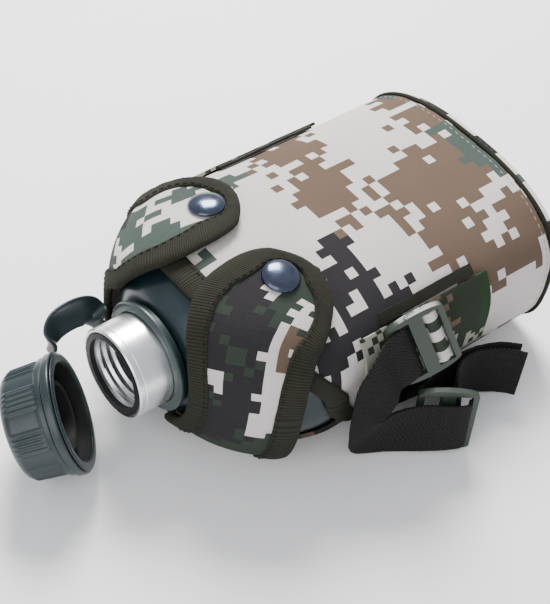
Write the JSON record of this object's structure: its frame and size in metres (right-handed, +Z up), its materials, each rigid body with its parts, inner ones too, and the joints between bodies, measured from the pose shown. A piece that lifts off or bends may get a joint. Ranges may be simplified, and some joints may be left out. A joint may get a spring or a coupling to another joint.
{
  "type": "canteen",
  "caption": "Flattened aluminium canteen in a fitted camouflage cloth cover with snap flaps, a tethered screw cap and a webbing shoulder strap.",
  "frame": {"origin": "middle of the bounding box, at the bottom: the plane that the canteen lies on", "axes": "+X from the mouth towards the base, +Z up through the front of the cover, which has the snaps; +Y towards the side where the cap hangs"},
  "size_m": [0.2294, 0.161, 0.0795],
  "materials": {
    "camouflage_cloth": "woven polyester canvas printed with square camouflage blocks",
    "binding_tape": "ribbed olive-brown binding tape",
    "strap_webbing": "charcoal herringbone webbing",
    "painted_aluminium": "satin blue-green paint",
    "bare_aluminium": "satin turned aluminium",
    "green_plastic": "satin moulded plastic, dark teal-green",
    "black_rubber": "black",
    "buckle_plastic": "moulded plastic, olive green",
    "snap_lacquer": "glossy gunmetal-navy lacquer",
    "snap_steel": "plain pressed steel"
  },
  "bodies": {
    "canteen": {"flask_body": "painted_aluminium", "threaded_neck": "bare_aluminium", "mouth_gasket": "black_rubber", "cover_front": "camouflage_cloth", "cover_back": "camouflage_cloth", "base_panel": "camouflage_cloth", "base_piping": "binding_tape", "front_mouth_binding": "binding_tape", "back_mouth_binding": "binding_tape", "near_snap_stud": "snap_steel", "near_snap_washer": "snap_steel", "far_snap_stud": "snap_steel", "far_snap_washer": "snap_steel", "near_flap_root": "camouflage_cloth", "far_flap_root": "camouflage_cloth", "near_side_loop": "camouflage_cloth", "near_loop_trim": "binding_tape", "far_side_loop": "camouflage_cloth", "far_loop_trim": "binding_tape", "near_buckle": "buckle_plastic", "far_buckle": "buckle_plastic", "strap_adjuster": "buckle_plastic", "strap_loop": "strap_webbing", "strap_loop_ply": "strap_webbing", "strap_tail": "strap_webbing", "strap_return": "strap_webbing", "strap_under_run": "strap_webbing", "strap_hank": "strap_webbing", "strap_far_end": "strap_webbing"},
    "collar": {"tether_collar": "green_plastic", "tether_band_root": "green_plastic"},
    "cap_carrier": {"tether_band_end": "green_plastic", "cap_ring": "green_plastic"},
    "cap": {"cap_shell": "green_plastic", "cap_plug": "black_rubber", "cap_gasket": "black_rubber"},
    "near_flap": {"near_flap": "camouflage_cloth", "near_flap_binding": "binding_tape", "near_snap_cap": "snap_lacquer", "near_snap_socket": "snap_steel"},
    "far_flap": {"far_flap": "camouflage_cloth", "far_flap_binding": "binding_tape", "far_snap_cap": "snap_lacquer", "far_snap_socket": "snap_steel"}
  },
  "joints": [
    {"name": "collar_swivel", "type": "hinge", "parent": "canteen", "child": "collar", "pos_m": [-0.05411, 0.00596, 0.0373], "axis": [1, 0, 0], "continuous": true},
    {"name": "tether_bend", "type": "hinge", "parent": "collar", "child": "cap_carrier", "pos_m": [-0.05691, 0.03547, 0.0344], "axis": [0.0801, 0.3805, 0.9213], "range_deg": [-75, 0]},
    {"name": "cap_spin", "type": "hinge", "parent": "cap_carrier", "child": "cap", "pos_m": [-0.08581, 0.00547, 0.0277], "axis": [0.793, -0.48, 0.375], "continuous": true},
    {"name": "near_flap_hinge", "type": "hinge", "parent": "canteen", "child": "near_flap", "pos_m": [-0.05491, -0.01594, 0.0124], "axis": [0.6402, -0.7682, 0], "range_deg": [0, 95]},
    {"name": "far_flap_hinge", "type": "hinge", "parent": "canteen", "child": "far_flap", "pos_m": [-0.05081, 0.03487, 0.01], "axis": [-0.735, -0.678, 0], "range_deg": [0, 95]}
  ]
}
